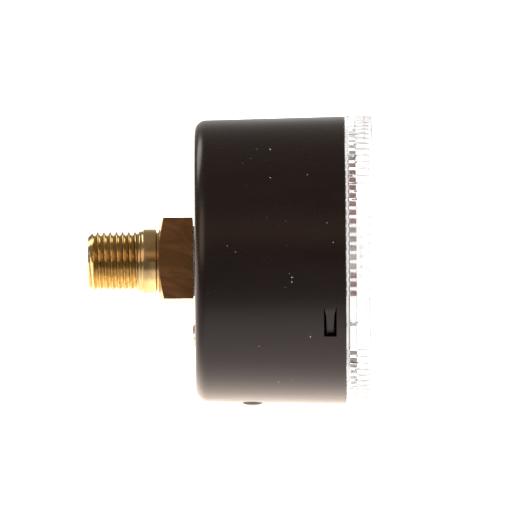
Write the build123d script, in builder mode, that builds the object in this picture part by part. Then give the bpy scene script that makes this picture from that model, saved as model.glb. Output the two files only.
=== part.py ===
from build123d import *
import os
from math import atan2, cos, degrees, radians, sin

# Back-entry pressure gauge with a nominal 63 mm dial and a 1/4 inch parallel thread.
# Millimetres. +X runs along the gauge's axis and out of the dial, +Z is twelve o'clock.
# The origin is on the axis, where the thread ends at the collar.
os.makedirs("parts", exist_ok=True)

# Socket, outside the case
THREAD_R = 6.5785
THREAD_LEN = 10.6
STUB_END = -11.8
COLLAR_R = 7.0
COLLAR_END = 2.95
NECK_R = 6.25
SQUARE = 17.5
SQUARE_TURN = -4.7
SQUARE_START = 3.4
SQUARE_END = 10.83
CORNER_START = 4.5
INLET_R = 2.5
INLET_END = 1.2

# Case
CASE_BACK = 11.2
CASE_FRONT = 43.5
CASE_R_BACK = 30.3
CASE_R_FRONT = 30.95
SHEET = 0.9
CASE_CORNER = 2.7
SOCKET_HOLE_R = 6.05
SCREW_Z = -16.0
PLUG_X = 23.4
TONGUE_START = 38.85
TONGUE_LEN = 2.4
TONGUE_LEAD = 0.9
DENT_LEN = 6.0
DENT_DEPTH = 0.35

# Window: the land angles are measured in the YZ plane, from +Y towards +Z
WINDOW_FRONT = 49.5
WINDOW_R = 31.15
RIB_ROOT_R = 30.55
RIB_STEP = 45.95
WINDOW_BORE_R = 28.9
SPIGOT_R = 29.7
SPIGOT_START = 37.7
SEAL_GROOVE = (42.1, 43.2)
SEAL_GROOVE_DEPTH = 0.45
FLANGE = 0.7
FRONT_BAND = 0.9
LAND_ANGLE = 206.3
LAND_HALF = 13.15
RIBS_PER_SIDE = 44
RIB_WIDTH = 1.33

# Dial and pointer
DIAL_R = 28.55
DIAL_FRONT = 45.95
DIAL_SHEET = 0.5
DIAL_SKIRT = 2.4
POST_Y = 8.5
STOP_ANGLE = 219.7
POINTER_X = 46.75
POINTER_T = 0.4
HUB_BACK = 46.2
ZERO_CLOCK = 225.0

# Movement
BACK_PLATE = 30.2
FRONT_PLATE = 37.0
PLATE = 1.0
MODULE = 0.25
PINION_TEETH = 12
SECTOR_TEETH = 132
GEAR_X = 33.0
GEAR_T = 1.0
SWEEP = 270.0 / 11.0
TAIL = 6.5
TAIL_ANGLE = -12.3
TUBE_R = 22.0
TUBE_X = 25.2
TUBE_START = 197.7
TUBE_END = 445.0
PIN_R = 0.7
COLLET_X = 34.8
LINK_X = 31.95
LINK_T = 0.6
TIP_PLATE = 29.2
TIP_PLATE_T = 1.3


def clock(radius, angle):
    """Y and Z of a point at a clock angle, seen from the front."""
    return (radius * sin(radians(angle)), radius * cos(radians(angle)))


def polar(radius, angle):
    """Y and Z of a point at an angle measured from +Y towards +Z."""
    return (radius * cos(radians(angle)), radius * sin(radians(angle)))


def face_plane(x):
    """Sketch plane across the axis: its X is +Y, its Y is +Z and its normal is +X."""
    return Plane(origin=(x, 0, 0), x_dir=(0, 1, 0), z_dir=(1, 0, 0))


def save(builder, name):
    builder.part.label = name
    export_step(builder.part, "parts/" + name + ".step")


PITCH_PINION = MODULE * PINION_TEETH / 2
PITCH_SECTOR = MODULE * SECTOR_TEETH / 2
PIVOT = clock(PITCH_PINION + PITCH_SECTOR, 150)
TAIL_PIN = (
    PIVOT[0] + TAIL * cos(radians(TAIL_ANGLE)),
    PIVOT[1] + TAIL * sin(radians(TAIL_ANGLE)),
)
TIP_PIN = (19.5, -3.0)
PILLARS = [(-7.5, -6.0), (2.5, -20.5), (6.2, 4.2)]
MOVEMENT_SCREWS = [(-3.6, 3.0), (-3.0, -13.5)]
POSTS = [(-POST_Y, 0.0), (POST_Y, 0.0)]
axis_plane = Plane.XZ


# Case: drawn steel cup with a small draft, open at the front
draft = (CASE_R_FRONT - CASE_R_BACK) / (CASE_FRONT - CASE_BACK)
inner_r_back = CASE_R_BACK - SHEET + draft * SHEET
with BuildPart() as case:
    with BuildSketch(axis_plane):
        with BuildLine():
            Polyline(
                (CASE_BACK, 0),
                (CASE_BACK, CASE_R_BACK),
                (CASE_FRONT, CASE_R_FRONT),
                (CASE_FRONT, 0),
                close=True,
            )
        make_face()
        fillet(vertices().sort_by(Axis.X)[:2].sort_by(Axis.Y)[-1], CASE_CORNER)
    revolve(axis=Axis.X)
    with BuildSketch(axis_plane):
        with BuildLine():
            Polyline(
                (CASE_BACK + SHEET, 0),
                (CASE_BACK + SHEET, inner_r_back),
                (CASE_FRONT + 1, CASE_R_FRONT - SHEET + draft),
                (CASE_FRONT + 1, 0),
                close=True,
            )
        make_face()
        fillet(vertices().sort_by(Axis.X)[:2].sort_by(Axis.Y)[-1], CASE_CORNER - SHEET)
    revolve(axis=Axis.X, mode=Mode.SUBTRACT)
    # Holes for the socket, for its fixing screw and for the vent plug
    with BuildSketch(face_plane(CASE_BACK - 1)):
        Circle(SOCKET_HOLE_R)
        with Locations((0, SCREW_Z)):
            Circle(1.6)
    extrude(amount=SHEET + 2, mode=Mode.SUBTRACT)
    with BuildSketch(Plane.XY.offset(-28)):
        with Locations((PLUG_X, 0)):
            Circle(1.75)
    extrude(amount=-4, mode=Mode.SUBTRACT)
    # Two lanced tongues that lock the window: cut free on three sides and bent inwards,
    # each with a shallow curved dent beside it in the outside of the rim
    dent_r = (DENT_LEN**2 / 4 + DENT_DEPTH**2) / (2 * DENT_DEPTH)
    for land in (LAND_ANGLE, LAND_ANGLE + 180):
        angle = land - TONGUE_LEAD
        with BuildSketch(Plane.XY.rotated((angle - 90, 0, 0)).offset(28)):
            with Locations((TONGUE_START + TONGUE_LEN / 2, 0)):
                Rectangle(TONGUE_LEN + 0.3, 6.9)
        extrude(amount=4, mode=Mode.SUBTRACT)
        with BuildSketch(Plane.XY.rotated((land - 90, 0, 0)).offset(CASE_R_FRONT - DENT_DEPTH)):
            with Locations((CASE_FRONT + dent_r - DENT_DEPTH, 0)):
                Circle(dent_r)
        extrude(amount=2, mode=Mode.SUBTRACT)
        with BuildSketch(face_plane(TONGUE_START)):
            with BuildLine():
                Polyline(
                    polar(30.05, angle - 6.6),
                    polar(30.87, angle - 6.6),
                    polar(30.05, angle + 6.1),
                    polar(29.25, angle + 6.1),
                    close=True,
                )
            make_face()
        extrude(amount=TONGUE_LEN)
save(case, "case")


# Window: clear moulded cap with a spigot that slides into the case
with BuildPart() as window:
    with BuildSketch(axis_plane):
        with BuildLine():
            Polyline(
                (SPIGOT_START, WINDOW_BORE_R),
                (SPIGOT_START, SPIGOT_R - 0.3),
                (SPIGOT_START + 0.4, SPIGOT_R),
                (SEAL_GROOVE[0], SPIGOT_R),
                (SEAL_GROOVE[0], SPIGOT_R - SEAL_GROOVE_DEPTH),
                (SEAL_GROOVE[1], SPIGOT_R - SEAL_GROOVE_DEPTH),
                (SEAL_GROOVE[1], SPIGOT_R),
                (CASE_FRONT, SPIGOT_R),
                (CASE_FRONT, WINDOW_R),
                (CASE_FRONT + FLANGE, WINDOW_R),
                (CASE_FRONT + FLANGE, RIB_ROOT_R),
                (RIB_STEP, RIB_ROOT_R),
                (RIB_STEP + 0.2, RIB_ROOT_R + 0.3),
                (WINDOW_FRONT - FRONT_BAND, RIB_ROOT_R + 0.3),
                (WINDOW_FRONT - FRONT_BAND, WINDOW_R),
                (WINDOW_FRONT - 0.35, WINDOW_R),
                (WINDOW_FRONT, WINDOW_R - 0.45),
                (WINDOW_FRONT, 0),
                (WINDOW_FRONT - 1.6, 0),
                (WINDOW_FRONT - 1.6, WINDOW_BORE_R),
                close=True,
            )
        make_face()
    revolve(axis=Axis.X)
    step = (180 - 2 * LAND_HALF) / (RIBS_PER_SIDE - 1)
    rib_len = WINDOW_FRONT - FRONT_BAND - CASE_FRONT - FLANGE
    ribs = []
    for side in (0, 180):
        ribs.append((LAND_ANGLE + side, 0.45))
        for i in range(RIBS_PER_SIDE):
            ribs.append((LAND_ANGLE + side + LAND_HALF + i * step, RIB_WIDTH))
    with BuildSketch(face_plane(CASE_FRONT + FLANGE)):
        for angle, width in ribs:
            with Locations(Location((0, 0, 0), (0, 0, angle))):
                with Locations((RIB_ROOT_R - 0.2, 0)):
                    Rectangle(0.55, width, align=(Align.MIN, Align.CENTER))
        Circle(WINDOW_R, mode=Mode.INTERSECT)
    extrude(amount=rib_len)
    # Openings in the spigot for the case's two tongues
    for land in (LAND_ANGLE, LAND_ANGLE + 180):
        with BuildSketch(Plane.XY.rotated((land - TONGUE_LEAD - 90, 0, 0)).offset(27)):
            with Locations((TONGUE_START + 1.1, 0)):
                Rectangle(TONGUE_LEN + 0.8, 7.8)
        extrude(amount=4, mode=Mode.SUBTRACT)
save(window, "window")


# Seal: O-ring in the spigot's groove
with BuildPart() as window_seal:
    with BuildSketch(axis_plane):
        with Locations((sum(SEAL_GROOVE) / 2, SPIGOT_R - SEAL_GROOVE_DEPTH + 0.36)):
            Ellipse(0.5, 0.35)
    revolve(axis=Axis.X)
save(window_seal, "window_seal")


# Dial: disc with a turned-back rim
with BuildPart() as dial:
    with BuildSketch(axis_plane):
        with BuildLine():
            Polyline(
                (DIAL_FRONT, 0),
                (DIAL_FRONT, DIAL_R),
                (DIAL_FRONT - DIAL_SKIRT, DIAL_R),
                (DIAL_FRONT - DIAL_SKIRT, DIAL_R - DIAL_SHEET),
                (DIAL_FRONT - DIAL_SHEET, DIAL_R - DIAL_SHEET),
                (DIAL_FRONT - DIAL_SHEET, 0),
                close=True,
            )
        make_face()
        fillet(vertices().sort_by(Axis.X)[-2:].sort_by(Axis.Y)[-1], 0.4)
    revolve(axis=Axis.X)
    with BuildSketch(face_plane(DIAL_FRONT - 1)):
        Circle(1.4)
        with Locations(*POSTS):
            Circle(0.95)
        with Locations(clock(17, STOP_ANGLE)):
            Circle(0.5)
    extrude(amount=2, mode=Mode.SUBTRACT)
save(dial, "dial")


# Posts that carry the dial on the front plate
with BuildPart() as dial_posts:
    with BuildSketch(face_plane(FRONT_PLATE + PLATE)):
        with Locations(*POSTS):
            Circle(1.5)
    extrude(amount=DIAL_FRONT - DIAL_SHEET - FRONT_PLATE - PLATE)
    with BuildSketch(face_plane(DIAL_FRONT - DIAL_SHEET)):
        with Locations(*POSTS):
            Circle(0.8)
    extrude(amount=-3.5, mode=Mode.SUBTRACT)
save(dial_posts, "dial_posts")

with BuildPart() as dial_screws:
    with BuildSketch(face_plane(DIAL_FRONT)):
        with Locations(*POSTS):
            Circle(1.5)
    extrude(amount=0.5)
    chamfer(faces().sort_by(Axis.X)[-2:].edges(), 0.15)
    with BuildSketch(face_plane(DIAL_FRONT)):
        with Locations(*POSTS):
            Circle(0.8)
    extrude(amount=-3.2)
    with BuildSketch(face_plane(DIAL_FRONT + 0.5)):
        with Locations(*POSTS):
            Rectangle(3.4, 0.4, rotation=35)
    extrude(amount=-0.28, mode=Mode.SUBTRACT)
save(dial_screws, "dial_screws")

with BuildPart() as stop_pin:
    with BuildSketch(face_plane(DIAL_FRONT - 0.8)):
        with Locations(clock(17, STOP_ANGLE)):
            Circle(0.5)
    extrude(amount=2.1)
    chamfer(faces().sort_by(Axis.X)[-1].edges(), 0.12)
save(stop_pin, "stop_pin")


# Pointer: it rests at zero, so it is drawn along the zero mark's direction
pointer_turn = 90 - ZERO_CLOCK
with BuildPart() as pointer:
    with BuildSketch(face_plane(POINTER_X)):
        with Locations(Location((0, 0, 0), (0, 0, pointer_turn))):
            Polygon(
                (-9.0, -1.3),
                (0, -1.15),
                (19.0, -0.8),
                (24.0, -0.12),
                (24.0, 0.12),
                (19.0, 0.8),
                (0, 1.15),
                (-9.0, 1.3),
                align=None,
            )
        Circle(3.0)
        Circle(1.3, mode=Mode.SUBTRACT)
    extrude(amount=POINTER_T)
save(pointer, "pointer")

with BuildPart() as pointer_hub:
    with BuildSketch(face_plane(HUB_BACK)):
        Circle(2.3)
    extrude(amount=POINTER_X - HUB_BACK)
    with BuildSketch(face_plane(POINTER_X)):
        Circle(1.3)
    extrude(amount=POINTER_T + 0.3)
    chamfer(faces().sort_by(Axis.X)[-1].edges(), 0.2)
    with BuildSketch(face_plane(HUB_BACK - 0.2)):
        Circle(0.6)
    extrude(amount=2, mode=Mode.SUBTRACT)
save(pointer_hub, "pointer_hub")


def tooth_ring(radius, count, first, step_angle):
    """Tapered teeth standing out of a gear's rim, first tooth at the given angle."""
    root = radius - 0.34
    tip = radius + 0.19
    for i in range(count):
        with Locations(Location((0, 0, 0), (0, 0, first + i * step_angle))):
            Polygon(
                (root, -0.21),
                (radius, -0.14),
                (tip, -0.07),
                (tip, 0.07),
                (radius, 0.14),
                (root, 0.21),
                align=None,
            )


# Pinion and its arbor
mesh_angle = degrees(atan2(PIVOT[1], PIVOT[0]))
with BuildPart() as pinion:
    with BuildSketch(face_plane(GEAR_X - 0.2)):
        Circle(PITCH_PINION - 0.3)
        tooth_ring(PITCH_PINION, PINION_TEETH, mesh_angle + 180 / PINION_TEETH, 360 / PINION_TEETH)
        Circle(0.6, mode=Mode.SUBTRACT)
    extrude(amount=GEAR_T + 0.4)
save(pinion, "pinion")

with BuildPart() as pinion_arbor:
    with BuildSketch(face_plane(BACK_PLATE + 0.2)):
        Circle(0.6)
    extrude(amount=47.3 - BACK_PLATE - 0.2)
save(pinion_arbor, "pinion_arbor")

# Hairspring with its collet on the arbor and its stud on the front plate
with BuildPart() as hairspring_collet:
    with BuildSketch(face_plane(COLLET_X)):
        Circle(1.35)
        Circle(0.6, mode=Mode.SUBTRACT)
    extrude(amount=1.0)
save(hairspring_collet, "hairspring_collet")

TURNS = 4.5
SPRING_IN = 1.4
SPRING_OUT = 6.0
with BuildPart() as hairspring:
    with BuildSketch(face_plane(COLLET_X + 0.2)):
        with BuildLine():
            sides = []
            for side in (-0.06, 0.06):
                points = []
                for i in range(109):
                    t = i / 108
                    radius = SPRING_IN + (SPRING_OUT - SPRING_IN) * t + side
                    turn = radians(180 + 360 * TURNS * t)
                    points.append((radius * cos(turn), radius * sin(turn)))
                sides.append(points)
            Spline(*sides[0])
            Spline(*sides[1])
            Line(sides[0][0], sides[1][0])
            Line(sides[0][-1], sides[1][-1])
        make_face()
    extrude(amount=0.6)
save(hairspring, "hairspring")

with BuildPart() as hairspring_stud:
    with BuildSketch(face_plane(COLLET_X)):
        with Locations((SPRING_OUT + 0.76, 0)):
            Circle(0.65)
    extrude(amount=FRONT_PLATE - COLLET_X)
save(hairspring_stud, "hairspring_stud")


# Sector gear: toothed arc, arms and the tail that the link pulls
sector_pitch = 360 / SECTOR_TEETH
teeth_cw = 11
teeth_ccw = 2
toward_centre = degrees(atan2(-PIVOT[1], -PIVOT[0]))
arc_from = toward_centre - (teeth_cw + 0.5) * sector_pitch
arc_to = toward_centre + (teeth_ccw + 0.5) * sector_pitch
mid = (arc_from + arc_to) / 2
rim = PITCH_SECTOR - 0.3
rim_inside = PITCH_SECTOR - 2.4
with BuildPart() as sector_gear:
    with BuildSketch(Plane(origin=(GEAR_X, *PIVOT), x_dir=(0, 1, 0), z_dir=(1, 0, 0))):
        with BuildLine():
            outer_arc = [polar(rim, angle) for angle in (arc_from, mid, arc_to)]
            inner_arc = [polar(rim_inside, angle) for angle in (arc_to, mid, arc_from)]
            ThreePointArc(*outer_arc)
            Line(outer_arc[2], inner_arc[0])
            ThreePointArc(*inner_arc)
            Line(inner_arc[2], outer_arc[0])
        make_face()
        for turn in (arc_from + 3, arc_to - 3):
            with Locations(Location((0, 0, 0), (0, 0, turn))):
                Rectangle(rim_inside + 0.5, 1.5, align=(Align.MIN, Align.CENTER))
        Circle(2.4)
        with Locations(Location((0, 0, 0), (0, 0, TAIL_ANGLE))):
            Rectangle(TAIL, 2.4, align=(Align.MIN, Align.CENTER))
            with Locations((TAIL, 0)):
                Circle(1.5)
        tooth_ring(
            PITCH_SECTOR,
            teeth_cw + teeth_ccw + 1,
            toward_centre - teeth_cw * sector_pitch,
            sector_pitch,
        )
        Circle(0.75, mode=Mode.SUBTRACT)
        with Locations(Location((0, 0, 0), (0, 0, TAIL_ANGLE))):
            with Locations((TAIL, 0)):
                Circle(PIN_R, mode=Mode.SUBTRACT)
    extrude(amount=GEAR_T)
save(sector_gear, "sector_gear")

with BuildPart() as sector_arbor:
    with BuildSketch(face_plane(BACK_PLATE + 0.2)):
        with Locations(PIVOT):
            Circle(0.75)
    extrude(amount=FRONT_PLATE + PLATE - 0.2 - BACK_PLATE - 0.2)
save(sector_arbor, "sector_arbor")

with BuildPart() as sector_pin:
    with BuildSketch(face_plane(LINK_X - 0.45)):
        with Locations(TAIL_PIN):
            Circle(PIN_R)
    extrude(amount=2.9)
    with BuildSketch(face_plane(LINK_X - 0.45)):
        with Locations(TAIL_PIN):
            Circle(1.05)
    extrude(amount=0.3)
save(sector_pin, "sector_pin")


# Link: flat bar; its upper hole is the linkage's open pivot, with extra clearance
with BuildPart() as link:
    with BuildSketch(face_plane(LINK_X)):
        with Locations(TAIL_PIN, TIP_PIN):
            Circle(1.5)
        make_hull()
        with Locations(TAIL_PIN):
            Circle(PIN_R + 0.05, mode=Mode.SUBTRACT)
        with Locations(TIP_PIN):
            Circle(PIN_R + 0.17, mode=Mode.SUBTRACT)
    extrude(amount=LINK_T)
save(link, "link")

with BuildPart() as tip_pin:
    with BuildSketch(face_plane(TIP_PLATE + TIP_PLATE_T)):
        with Locations(TIP_PIN):
            Circle(PIN_R)
    extrude(amount=2.7)
    with BuildSketch(face_plane(LINK_X + LINK_T + 0.3)):
        with Locations(TIP_PIN):
            Circle(1.05)
    extrude(amount=0.35)
save(tip_pin, "tip_pin")


# Bourdon tube: flattened tube bent round the movement
tube_plane = Plane.XZ.rotated((-TUBE_END, 0, 0))
tube_arc = TUBE_END - TUBE_START
with BuildPart() as bourdon_tube:
    with BuildSketch(tube_plane):
        with Locations((TUBE_X, TUBE_R)):
            SlotOverall(7.0, 2.4)
            SlotOverall(6.3, 1.7, mode=Mode.SUBTRACT)
    revolve(axis=Axis.X, revolution_arc=tube_arc)
save(bourdon_tube, "bourdon_tube")

tip_turn = 90 - TUBE_END
with BuildPart() as tube_tip:
    with BuildSketch(face_plane(21.2)):
        with Locations(Location((0, 0, 0), (0, 0, tip_turn))):
            with Locations((TUBE_R, -0.06)):
                Rectangle(3.6, 3.2, align=(Align.CENTER, Align.MAX))
    extrude(amount=TIP_PLATE - 21.2)
    with BuildSketch(face_plane(TIP_PLATE)):
        with Locations(TIP_PIN):
            Circle(1.6)
        with Locations(Location((0, 0, 0), (0, 0, tip_turn))):
            with Locations((TUBE_R, -1.7)):
                Circle(1.5)
        make_hull()
    extrude(amount=TIP_PLATE_T)
    with BuildSketch(face_plane(TIP_PLATE - 0.2)):
        with Locations(TIP_PIN):
            Circle(PIN_R)
    extrude(amount=2.0, mode=Mode.SUBTRACT)
save(tube_tip, "tube_tip")


# Movement plates, pillars and screws
def plate_outline():
    with Locations((0, 0), PIVOT):
        Circle(3.0)
    with Locations(*PILLARS):
        Circle(2.4)
    with Locations(*POSTS):
        Circle(2.2)
    make_hull()


with BuildPart() as movement_back_plate:
    with BuildSketch(face_plane(BACK_PLATE)):
        plate_outline()
        Circle(0.65, mode=Mode.SUBTRACT)
        with Locations(PIVOT):
            Circle(0.8, mode=Mode.SUBTRACT)
        with Locations(*MOVEMENT_SCREWS):
            Circle(1.05, mode=Mode.SUBTRACT)
    extrude(amount=PLATE)
save(movement_back_plate, "movement_back_plate")

with BuildPart() as movement_front_plate:
    with BuildSketch(face_plane(FRONT_PLATE)):
        plate_outline()
        Circle(0.65, mode=Mode.SUBTRACT)
        with Locations(PIVOT):
            Circle(0.8, mode=Mode.SUBTRACT)
        with Locations(*PILLARS):
            Circle(0.85, mode=Mode.SUBTRACT)
    extrude(amount=PLATE)
save(movement_front_plate, "movement_front_plate")

with BuildPart() as movement_pillars:
    with BuildSketch(face_plane(BACK_PLATE + PLATE)):
        with Locations(*PILLARS):
            Circle(1.5)
    extrude(amount=FRONT_PLATE - BACK_PLATE - PLATE)
    with BuildSketch(face_plane(FRONT_PLATE)):
        with Locations(*PILLARS):
            Circle(0.8)
    extrude(amount=-3, mode=Mode.SUBTRACT)
save(movement_pillars, "movement_pillars")

with BuildPart() as pillar_screws:
    with BuildSketch(face_plane(FRONT_PLATE + PLATE)):
        with Locations(*PILLARS):
            Circle(1.4)
    extrude(amount=0.8)
    with BuildSketch(face_plane(FRONT_PLATE + PLATE)):
        with Locations(*PILLARS):
            Circle(0.8)
    extrude(amount=-PLATE - 2.6)
    with BuildSketch(face_plane(FRONT_PLATE + PLATE + 0.8)):
        with Locations(*PILLARS):
            Rectangle(3.0, 0.4)
    extrude(amount=-0.35, mode=Mode.SUBTRACT)
save(pillar_screws, "pillar_screws")

with BuildPart() as movement_screws:
    with BuildSketch(face_plane(BACK_PLATE + PLATE)):
        with Locations(*MOVEMENT_SCREWS):
            Circle(1.6)
    extrude(amount=0.9)
    with BuildSketch(face_plane(BACK_PLATE + PLATE)):
        with Locations(*MOVEMENT_SCREWS):
            Circle(1.0)
    extrude(amount=-PLATE - 4.0)
    with BuildSketch(face_plane(BACK_PLATE + PLATE + 0.9)):
        with Locations(*MOVEMENT_SCREWS):
            Rectangle(3.4, 0.45)
    extrude(amount=-0.4, mode=Mode.SUBTRACT)
save(movement_screws, "movement_screws")


# Socket: threaded stub, collar, wrench square and, inside, the block that holds the tube
half = SQUARE / 2
corner_r = half * 2**0.5
with BuildPart() as socket:
    with BuildSketch(face_plane(SQUARE_START)):
        Rectangle(SQUARE, SQUARE, rotation=SQUARE_TURN)
    extrude(amount=SQUARE_END - SQUARE_START)
    with BuildSketch(axis_plane):
        with BuildLine():
            Polyline(
                (SQUARE_START, 0),
                (SQUARE_START, half),
                (CORNER_START, corner_r),
                (SQUARE_END, corner_r + 0.1),
                (SQUARE_END, 0),
                close=True,
            )
        make_face()
    revolve(axis=Axis.X, mode=Mode.INTERSECT)
    with BuildSketch(axis_plane):
        with BuildLine():
            Polyline(
                (STUB_END, 0),
                (STUB_END, THREAD_R - 1.2),
                (STUB_END + 1.2, THREAD_R),
                (0, THREAD_R),
                (0, COLLAR_R),
                (COLLAR_END, COLLAR_R),
                (COLLAR_END, NECK_R),
                (SQUARE_START, NECK_R),
                (SQUARE_START, 0),
                close=True,
            )
        make_face()
    revolve(axis=Axis.X)
    with BuildSketch(face_plane(SQUARE_END)):
        Circle(SOCKET_HOLE_R - 0.05)
    extrude(amount=CASE_BACK + SHEET - SQUARE_END)
    with BuildSketch(face_plane(CASE_BACK + SHEET)):
        with BuildLine():
            Polyline(
                (-6.5, 7.0),
                (6.0, 7.0),
                (6.0, -22.6),
                (-8.2, -22.6),
                (-8.2, -17.6),
                (-6.5, -16.4),
                close=True,
            )
        make_face()
    extrude(amount=BACK_PLATE - CASE_BACK - SHEET)
    # Pressure passage: inlet, bore along the axis, then down and across to the tube
    with BuildSketch(face_plane(STUB_END)):
        Circle(INLET_R)
    extrude(amount=INLET_END - STUB_END, mode=Mode.SUBTRACT)
    with BuildSketch(face_plane(INLET_END)):
        Circle(1.25)
    extrude(amount=TUBE_X + 1.25 - INLET_END, mode=Mode.SUBTRACT)
    with BuildSketch(Plane.XY):
        with Locations((TUBE_X, 0)):
            Circle(1.25)
    extrude(amount=-20.5, mode=Mode.SUBTRACT)
    with BuildSketch(Plane.XZ):
        with Locations((TUBE_X, -20.9)):
            Circle(0.8)
    extrude(amount=7.0, mode=Mode.SUBTRACT)
    # Screw holes, and the slot that takes the tube
    with BuildSketch(face_plane(CASE_BACK + SHEET)):
        with Locations((0, SCREW_Z)):
            Circle(1.5)
    extrude(amount=6.5, mode=Mode.SUBTRACT)
    with BuildSketch(face_plane(BACK_PLATE)):
        with Locations(*MOVEMENT_SCREWS):
            Circle(1.0)
    extrude(amount=-4.5, mode=Mode.SUBTRACT)
    with BuildSketch(tube_plane):
        with Locations((TUBE_X, TUBE_R)):
            SlotOverall(7.0, 2.4)
    revolve(axis=Axis.X, revolution_arc=tube_arc, mode=Mode.SUBTRACT)
save(socket, "socket")

with BuildPart() as socket_washer:
    with BuildSketch(face_plane(SQUARE_END)):
        Circle(7.6)
        Circle(SOCKET_HOLE_R + 0.05, mode=Mode.SUBTRACT)
    extrude(amount=CASE_BACK - SQUARE_END)
save(socket_washer, "socket_washer")

# Restrictor: drilled plug at the inlet's inner end that damps pressure shocks
with BuildPart() as restrictor:
    with BuildSketch(face_plane(INLET_END)):
        Circle(1.25)
        Circle(0.3, mode=Mode.SUBTRACT)
    extrude(amount=3.5)
    with BuildSketch(face_plane(INLET_END)):
        Rectangle(0.4, 2.6)
    extrude(amount=0.6, mode=Mode.SUBTRACT)
save(restrictor, "restrictor")

# Slotted screw through the back of the case
with BuildPart() as case_screw:
    with BuildSketch(axis_plane):
        with BuildLine():
            Line((CASE_BACK, SCREW_Z), (CASE_BACK - 0.8, SCREW_Z))
            Spline(
                (CASE_BACK - 0.8, SCREW_Z),
                (CASE_BACK - 0.68, SCREW_Z + 1.3),
                (CASE_BACK - 0.3, SCREW_Z + 2.25),
                tangents=((0, 1), (1, 0.9)),
            )
            Line((CASE_BACK - 0.3, SCREW_Z + 2.25), (CASE_BACK, SCREW_Z + 2.4))
            Line((CASE_BACK, SCREW_Z + 2.4), (CASE_BACK, SCREW_Z))
        make_face()
    revolve(axis=Axis((0, 0, SCREW_Z), (1, 0, 0)))
    with BuildSketch(face_plane(CASE_BACK)):
        with Locations((0, SCREW_Z)):
            Circle(1.5)
    extrude(amount=7.0)
    with BuildSketch(face_plane(CASE_BACK - 1)):
        with Locations((0, SCREW_Z)):
            Rectangle(6, 0.7)
    extrude(amount=0.75, mode=Mode.SUBTRACT)
save(case_screw, "case_screw")

# Vent plug: rubber mushroom in the bottom of the case
with BuildPart() as vent_plug:
    with BuildSketch(axis_plane):
        with BuildLine():
            Polyline(
                (PLUG_X, -28.5),
                (PLUG_X + 2.3, -28.9),
                (PLUG_X + 2.3, -30.75),
                (PLUG_X + 1.7, -30.95),
                (PLUG_X, -31.05),
                close=True,
            )
        make_face()
    revolve(axis=Axis((PLUG_X, 0, 0), (0, 0, 1)))
    add(case.part, mode=Mode.SUBTRACT)
save(vent_plug, "vent_plug")
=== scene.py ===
from math import asin, cos, degrees, exp, pi, radians, sin, sqrt

import bmesh
import bpy
from mathutils import Matrix, Vector


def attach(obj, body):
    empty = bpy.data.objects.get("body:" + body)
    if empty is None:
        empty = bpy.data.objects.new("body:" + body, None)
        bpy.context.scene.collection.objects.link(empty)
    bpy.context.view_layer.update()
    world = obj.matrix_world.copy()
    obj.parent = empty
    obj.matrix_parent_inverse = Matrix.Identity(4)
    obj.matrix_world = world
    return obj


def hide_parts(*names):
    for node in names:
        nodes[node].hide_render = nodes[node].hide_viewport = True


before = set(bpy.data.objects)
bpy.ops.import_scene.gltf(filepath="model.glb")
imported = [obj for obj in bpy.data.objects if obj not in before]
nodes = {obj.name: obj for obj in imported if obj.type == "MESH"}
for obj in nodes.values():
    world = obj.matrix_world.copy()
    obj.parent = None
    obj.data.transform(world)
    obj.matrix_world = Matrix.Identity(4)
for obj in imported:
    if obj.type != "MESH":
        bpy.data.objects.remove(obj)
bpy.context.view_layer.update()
MM = 0.001

# ---------------------------------------------------------------- sizes, in millimetres
THREAD_R = 6.5785
THREAD_ROOT_R = 5.7225
THREAD_PITCH = 1.337
STUB_END = -11.8
COLLAR_R = 7.0
COLLAR_END = 2.95
NECK_R = 6.25
SQUARE_HALF = 8.75
SQUARE_TURN = -4.7
SQUARE_START = 3.4
SQUARE_END = 10.83
CORNER_START = 4.5
INLET_R = 2.5
CASE_BACK = 11.2
CASE_FRONT = 43.5
CASE_R_BACK = 30.3
CASE_R_FRONT = 30.95
CASE_CORNER = 2.7
SHEET = 0.9
SCREW_Z = -16.0
PLUG_X = 23.4
WINDOW_FRONT = 49.5
WINDOW_R = 31.15
RIB_ROOT_R = 30.55
RIB_STEP = 45.95
WINDOW_BORE_R = 28.9
SPIGOT_R = 29.7
SPIGOT_START = 37.7
SEAL_GROOVE = (42.1, 43.2)
SEAL_GROOVE_R = 29.25
FLANGE = 0.7
WINDOW_SHEET = 1.6
LAND_ANGLE = 206.3
LAND_HALF = 13.15
TONGUE_X = 40.05
TONGUE_LEAD = 0.9
DENT_DEPTH = 0.35
DENT_R = 13.03
RIBS_PER_SIDE = 44
RIB_WIDTH = 1.33
DIAL_R = 28.55
DIAL_FRONT = 45.95
DIAL_SKIRT = 2.4
DIAL_SHEET = 0.5
POINTER_X = 46.75
BACK_PLATE = 30.2
FLOOR_Z = -31.2

# Refractive index of the clear plastic
INDEX = 1.5


# ---------------------------------------------------------------- mesh helpers
def mesh_object(name, verts, faces, sharp=32.0):
    """A closed mesh from points in millimetres, smooth except across sharp edges."""
    mesh = bpy.data.meshes.new(name)
    mesh.from_pydata([tuple(c * MM for c in v) for v in verts], [], faces)
    mesh.update()
    bm = bmesh.new()
    bm.from_mesh(mesh)
    bmesh.ops.remove_doubles(bm, verts=bm.verts, dist=1e-7)
    bmesh.ops.recalc_face_normals(bm, faces=bm.faces)
    bm.to_mesh(mesh)
    bm.free()
    obj = bpy.data.objects.new(name, mesh)
    bpy.context.scene.collection.objects.link(obj)
    shade(obj, sharp)
    return obj


def shade(obj, sharp=32.0):
    obj.data.shade_smooth()
    obj.data.set_sharp_from_angle(angle=radians(sharp))


def around(x, radius, angle):
    """Point at a distance along the axis, a radius and an angle from +Y towards +Z."""
    return (x, radius * cos(radians(angle)), radius * sin(radians(angle)))


def turned(point, angle):
    """Point turned round the axis, from +Y towards +Z."""
    x, y, z = point
    c, s = cos(radians(angle)), sin(radians(angle))
    return (x, y * c - z * s, y * s + z * c)


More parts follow.
